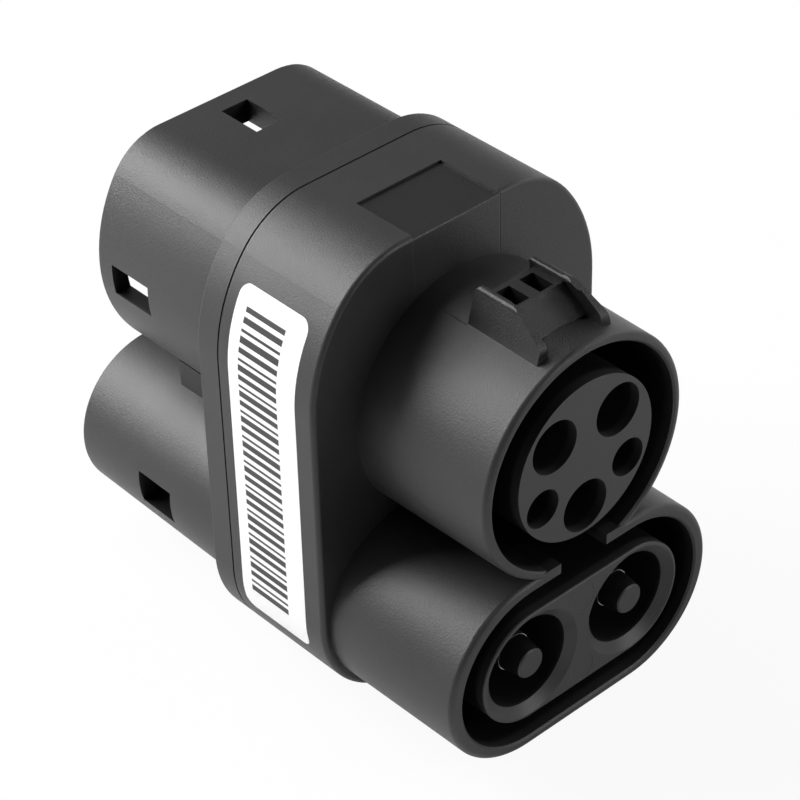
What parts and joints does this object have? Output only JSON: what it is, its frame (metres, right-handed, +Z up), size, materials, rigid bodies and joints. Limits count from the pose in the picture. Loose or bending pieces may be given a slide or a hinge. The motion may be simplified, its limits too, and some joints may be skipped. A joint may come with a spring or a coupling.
{
  "type": "electric vehicle charging adapter",
  "caption": "Charging adapter with a round AC mouth over a long DC mouth at the front, a plain oval collar, and a hollow D-shaped plug over a long DC plug at the back.",
  "frame": {"origin": "middle of the adapter's length and width, at the height of the collar's flat foot", "axes": "+Y along the adapter from the front mouths to the rear plug, +Z up from the DC contacts to the AC contacts, +X to the right when facing the front mouths"},
  "size_m": [0.0734, 0.1162, 0.1037],
  "materials": {
    "front_plastic": "fine moulded grain",
    "rear_plastic": "fine moulded grain",
    "inlet_core": "smooth moulded",
    "plug_core": "smooth moulded",
    "tip_plastic": "smooth moulded",
    "gasket_rubber": "matte",
    "label_film": "printed film",
    "contact_metal": "silver plated",
    "clip_steel": "spring steel",
    "screw_steel": "zinc plated",
    "wire_brown": "insulation",
    "wire_blue": "insulation",
    "wire_green": "insulation",
    "wire_yellow": "insulation",
    "wire_white": "insulation",
    "board": "coated board",
    "switch_case": "sealed case"
  },
  "bodies": {
    "root": {"front_housing": "front_plastic", "rear_housing": "rear_plastic", "seam_gasket": "gasket_rubber", "side_label": "label_film", "ac_inlet_core": "inlet_core", "dc_inlet_core": "inlet_core", "ac_plug_core": "plug_core", "dc_plug_core": "plug_core", "dc_pin_left": "contact_metal", "dc_pin_right": "contact_metal", "dc_tip_left": "tip_plastic", "dc_tip_right": "tip_plastic", "dc_socket_left": "contact_metal", "dc_socket_right": "contact_metal", "dc_pin_seals": "gasket_rubber", "dc_socket_clips": "clip_steel", "pin_line": "contact_metal", "pin_neutral": "contact_metal", "pin_earth": "contact_metal", "pin_pilot": "contact_metal", "pin_proximity": "contact_metal", "socket_line": "contact_metal", "socket_neutral": "contact_metal", "socket_earth": "contact_metal", "socket_pilot": "contact_metal", "socket_proximity": "contact_metal", "wire_line": "wire_brown", "wire_neutral": "wire_blue", "wire_earth": "wire_green", "wire_pilot": "wire_yellow", "wire_proximity": "wire_white", "proximity_board": "board", "thermal_switch": "switch_case", "core_screws": "screw_steel", "housing_screws": "screw_steel"}
  },
  "joints": []
}
